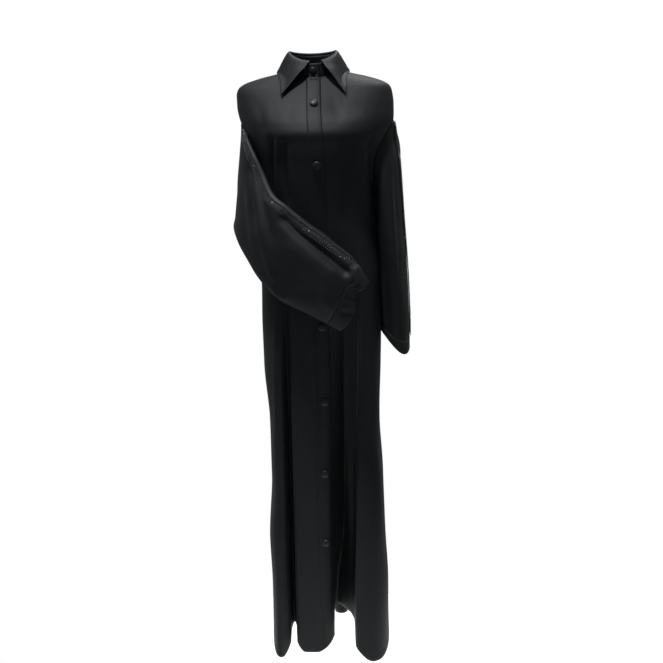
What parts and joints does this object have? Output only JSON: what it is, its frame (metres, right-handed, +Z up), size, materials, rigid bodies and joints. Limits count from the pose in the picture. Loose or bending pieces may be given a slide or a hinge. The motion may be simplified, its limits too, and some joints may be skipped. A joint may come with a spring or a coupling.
{
  "type": "abaya cloak",
  "caption": "Long black button-front abaya cloak, worn and hollow, with a pointed shirt collar, wide sleeves, one bent across the waist, and a hem hanging in deep soft folds.",
  "frame": {"origin": "on the middle plane, level with the high shoulder points, in the middle of the neck opening, where the wearer's shoulders hold the garment", "axes": "+Z up, the front faces -Y, and the wearer's right side is at -X"},
  "size_m": [0.4258, 0.3805, 1.5186],
  "materials": {
    "black_crepe": "soft satin sheen",
    "black_satin_band": "satin",
    "covered_button": "satin"
  },
  "bodies": {
    "root": {"back": "black_crepe", "front_right": "black_crepe", "front_left": "black_crepe", "placket": "black_crepe", "collar_stand": "black_crepe", "collar": "black_crepe", "sleeve_right": "black_crepe", "sleeve_left": "black_crepe", "cuff_right": "black_crepe", "cuff_left": "black_crepe", "trim_right": "black_satin_band", "trim_left": "black_satin_band", "button_stand": "covered_button", "button_1": "covered_button", "button_2": "covered_button", "button_3": "covered_button", "button_4": "covered_button", "button_5": "covered_button", "button_6": "covered_button", "button_7": "covered_button"}
  },
  "joints": []
}
